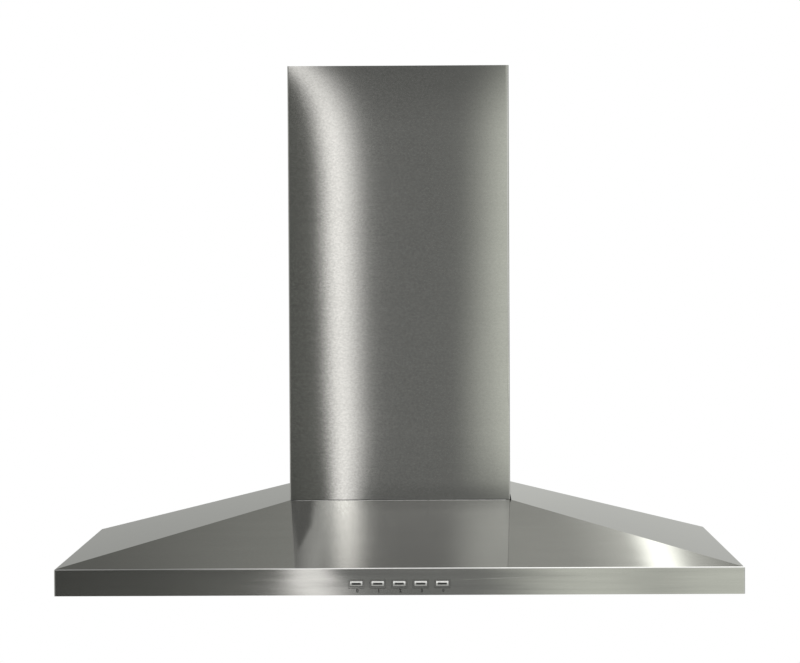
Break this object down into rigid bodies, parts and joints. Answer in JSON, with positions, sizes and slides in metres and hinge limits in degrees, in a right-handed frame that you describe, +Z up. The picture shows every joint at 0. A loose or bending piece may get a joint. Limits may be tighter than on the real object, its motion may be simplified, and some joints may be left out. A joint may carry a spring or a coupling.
{
  "type": "chimney range hood",
  "caption": "Wall-mounted pyramid range hood in brushed steel with a square flue cover, push buttons in the front band, blower, lamps and grease filters.",
  "frame": {"origin": "middle of the hood's width, on the wall plane at the level of the underside of the band", "axes": "+X to the right seen from the front, +Y into the wall, +Z up"},
  "size_m": [0.9, 0.5025, 0.701],
  "materials": {
    "stainless": "brushed stainless steel with a horizontal grain",
    "galvanised": "galvanised sheet steel",
    "screw_steel": "zinc plated screws and pins",
    "button": "metallised satin plastic",
    "black_plastic": "black moulded plastic",
    "white_plastic": "white moulded plastic",
    "grey_plastic": "grey moulded plastic",
    "aluminium": "mill finish aluminium",
    "mesh": "expanded aluminium mesh",
    "bezel": "bright plated ring",
    "lens": "frosted glass",
    "bulb": "clear bulb",
    "motor_steel": "painted motor shell",
    "laminations": "stacked steel laminations",
    "bearing": "sintered bronze",
    "rubber": "soft rubber",
    "lead": "black flexible sheath"
  },
  "bodies": {
    "hood": {"canopy_shell": "stainless", "lower_chimney": "stainless", "back_panel": "galvanised", "liner_panel": "stainless", "liner_screws": "screw_steel", "switch_body": "black_plastic", "switch_bracket": "galvanised", "lamp_housing_left": "aluminium", "lamp_housing_right": "aluminium", "lamp_bezel_left": "bezel", "lamp_bezel_right": "bezel", "lamp_lens_left": "lens", "lamp_lens_right": "lens", "lamp_bulbs": "bulb", "blower_bracket": "galvanised", "blower_housing": "galvanised", "inlet_ring_left": "black_plastic", "inlet_ring_right": "black_plastic", "blower_screws": "screw_steel", "motor_stator": "laminations", "motor_can": "motor_steel", "motor_end_cap": "motor_steel", "motor_bearings": "bearing", "motor_bracket": "galvanised", "motor_grommets": "rubber", "motor_lead": "lead", "switch_lead": "lead", "outlet_adapter": "grey_plastic", "duct_collar": "grey_plastic", "damper_pin": "screw_steel", "junction_box": "grey_plastic", "junction_box_cover": "grey_plastic", "terminal_block": "white_plastic", "cable_gland": "black_plastic", "capacitor": "white_plastic"},
    "upper_flue": {"upper_chimney": "stainless", "chimney_bracket": "galvanised", "bracket_nuts": "screw_steel"},
    "fan": {"impeller": "galvanised", "motor_shaft": "screw_steel", "motor_rotor": "laminations"},
    "damper_front": {"damper_flap_front": "white_plastic"},
    "damper_rear": {"damper_flap_rear": "white_plastic"},
    "button_off_key": {"button_off": "button"},
    "button_speed_1_key": {"button_speed_1": "button"},
    "button_speed_2_key": {"button_speed_2": "button"},
    "button_speed_3_key": {"button_speed_3": "button"},
    "button_light_key": {"button_light": "button"},
    "filter_1": {"filter_frame_1": "aluminium", "filter_mesh_1": "mesh"},
    "latch_1": {"filter_latch_1": "black_plastic"},
    "filter_2": {"filter_frame_2": "aluminium", "filter_mesh_2": "mesh"},
    "latch_2": {"filter_latch_2": "black_plastic"},
    "filter_3": {"filter_frame_3": "aluminium", "filter_mesh_3": "mesh"},
    "latch_3": {"filter_latch_3": "black_plastic"}
  },
  "joints": [
    {"name": "flue_extend", "type": "slide", "parent": "hood", "child": "upper_flue", "axis": [0, 0, 1], "range_m": [0, 0.4]},
    {"name": "fan_spin", "type": "hinge", "parent": "hood", "child": "fan", "pos_m": [0, -0.182, 0.2259], "axis": [1, 0, 0], "continuous": true},
    {"name": "damper_front_swing", "type": "hinge", "parent": "hood", "child": "damper_front", "pos_m": [0, -0.125, 0.3981], "axis": [-1, 0, 0], "range_deg": [0, 80]},
    {"name": "damper_rear_swing", "type": "hinge", "parent": "hood", "child": "damper_rear", "pos_m": [0, -0.125, 0.3981], "axis": [1, 0, 0], "range_deg": [0, 80]},
    {"name": "button_off_press", "type": "slide", "parent": "hood", "child": "button_off_key", "axis": [0, 1, 0], "range_m": [0, 0.003], "stiffness_N_per_m": 300, "springref_m": -0.002},
    {"name": "button_speed_1_press", "type": "slide", "parent": "hood", "child": "button_speed_1_key", "axis": [0, 1, 0], "range_m": [0, 0.003], "stiffness_N_per_m": 300, "springref_m": -0.002},
    {"name": "button_speed_2_press", "type": "slide", "parent": "hood", "child": "button_speed_2_key", "axis": [0, 1, 0], "range_m": [0, 0.003], "stiffness_N_per_m": 300, "springref_m": -0.002},
    {"name": "button_speed_3_press", "type": "slide", "parent": "hood", "child": "button_speed_3_key", "axis": [0, 1, 0], "range_m": [0, 0.003], "stiffness_N_per_m": 300, "springref_m": -0.002},
    {"name": "button_light_press", "type": "slide", "parent": "hood", "child": "button_light_key", "axis": [0, 1, 0], "range_m": [0, 0.003], "stiffness_N_per_m": 300, "springref_m": -0.002},
    {"name": "filter_1_tilt", "type": "hinge", "parent": "hood", "child": "filter_1", "pos_m": [-0.28, -0.095, 0.007], "axis": [1, 0, 0], "range_deg": [0, 75]},
    {"name": "latch_1_slide", "type": "slide", "parent": "filter_1", "child": "latch_1", "axis": [0, 1, 0], "range_m": [0, 0.005], "stiffness_N_per_m": 300, "springref_m": -0.002},
    {"name": "filter_2_tilt", "type": "hinge", "parent": "hood", "child": "filter_2", "pos_m": [0, -0.095, 0.007], "axis": [1, 0, 0], "range_deg": [0, 75]},
    {"name": "latch_2_slide", "type": "slide", "parent": "filter_2", "child": "latch_2", "axis": [0, 1, 0], "range_m": [0, 0.005], "stiffness_N_per_m": 300, "springref_m": -0.002},
    {"name": "filter_3_tilt", "type": "hinge", "parent": "hood", "child": "filter_3", "pos_m": [0.28, -0.095, 0.007], "axis": [1, 0, 0], "range_deg": [0, 75]},
    {"name": "latch_3_slide", "type": "slide", "parent": "filter_3", "child": "latch_3", "axis": [0, 1, 0], "range_m": [0, 0.005], "stiffness_N_per_m": 300, "springref_m": -0.002}
  ]
}
